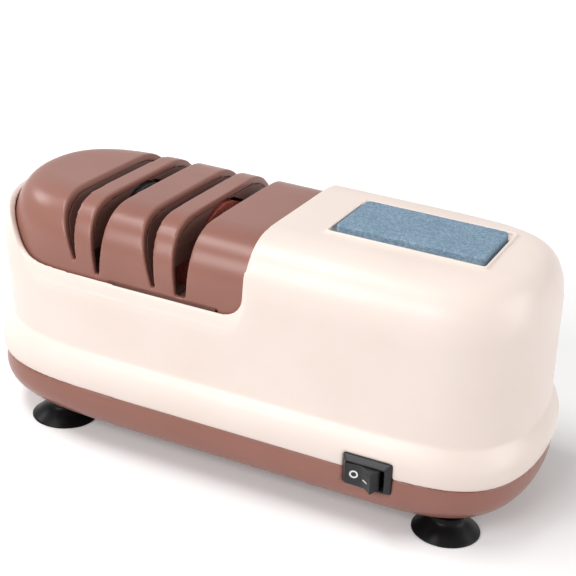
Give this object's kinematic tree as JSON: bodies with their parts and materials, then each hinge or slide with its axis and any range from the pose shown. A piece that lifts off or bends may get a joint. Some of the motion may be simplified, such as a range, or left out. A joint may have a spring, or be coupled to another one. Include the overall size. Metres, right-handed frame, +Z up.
{
  "type": "electric knife sharpener",
  "caption": "Two tone electric knife sharpener with slotted guide cover over grinding wheels, a whetstone on top, a rocker switch and suction cup feet.",
  "frame": {"origin": "middle of the footprint, on the surface under the suction cups", "axes": "+X along the length towards the motor end with the whetstone, -Y is the front with the switch, +Z up"},
  "size_m": [0.2388, 0.1162, 0.1061],
  "materials": {
    "housing_cream": "satin",
    "shell_brown": "satin",
    "black_rubber": "satin",
    "black_plastic": "matte",
    "bright_steel": "satin",
    "dark_metal": "satin",
    "brass": "satin",
    "stone_blue": "rough",
    "grit_red": "rough",
    "grit_black": "rough",
    "board_green": "satin",
    "lead_blue": "satin"
  },
  "bodies": {
    "machine": {"upper_housing": "housing_cream", "base_tray": "shell_brown", "guide_cover": "shell_brown", "guide_frame": "shell_brown", "whetstone": "stone_blue", "switch_bezel": "black_plastic", "power_inlet": "black_plastic", "motor_end_cap": "black_plastic", "bridge_rectifier": "black_plastic", "suction_cup_1": "black_rubber", "suction_cup_2": "black_rubber", "suction_cup_3": "black_rubber", "suction_cup_4": "black_rubber", "cup_screw_1": "bright_steel", "cup_screw_2": "bright_steel", "cup_screw_3": "bright_steel", "cup_screw_4": "bright_steel", "housing_screw_1": "bright_steel", "housing_screw_2": "bright_steel", "housing_screw_3": "bright_steel", "housing_screw_4": "bright_steel", "bracket_screw_1": "bright_steel", "bracket_screw_2": "bright_steel", "bracket_screw_3": "bright_steel", "bracket_screw_4": "bright_steel", "strap_screw_1": "bright_steel", "strap_screw_2": "bright_steel", "strap_screw_3": "bright_steel", "strap_screw_4": "bright_steel", "motor_strap_left": "bright_steel", "motor_strap_right": "bright_steel", "inner_bearing": "dark_metal", "outer_bearing": "dark_metal", "inner_bearing_bracket": "dark_metal", "outer_bearing_bracket": "dark_metal", "motor_can": "dark_metal", "motor_cradle": "dark_metal", "motor_magnet_front": "dark_metal", "motor_magnet_back": "dark_metal", "switch_terminal_feed": "brass", "switch_terminal_load": "brass", "inlet_pin_left": "brass", "inlet_pin_right": "brass", "circuit_board": "board_green", "smoothing_capacitor": "lead_blue", "lead_switch_to_board": "lead_blue", "lead_inlet_to_board": "lead_blue", "lead_inlet_to_switch": "lead_blue", "lead_board_to_motor": "lead_blue"},
    "spindle": {"spindle_shaft": "bright_steel", "wheel_spacer": "bright_steel", "retaining_nut": "bright_steel", "coarse_wheel": "grit_red", "fine_wheel": "grit_black", "shaft_coupling": "brass", "motor_rotor": "bright_steel"},
    "rocker": {"switch_rocker": "black_plastic"}
  },
  "joints": [
    {"name": "spindle_spin", "type": "hinge", "parent": "machine", "child": "spindle", "pos_m": [-0.05, 0.00272, 0.065], "axis": [1, 0, 0], "continuous": true},
    {"name": "rocker_tilt", "type": "hinge", "parent": "machine", "child": "rocker", "pos_m": [0.064, -0.04878, 0.02642], "axis": [0, -0.1599, 0.9871], "range_deg": [0, 28]}
  ]
}
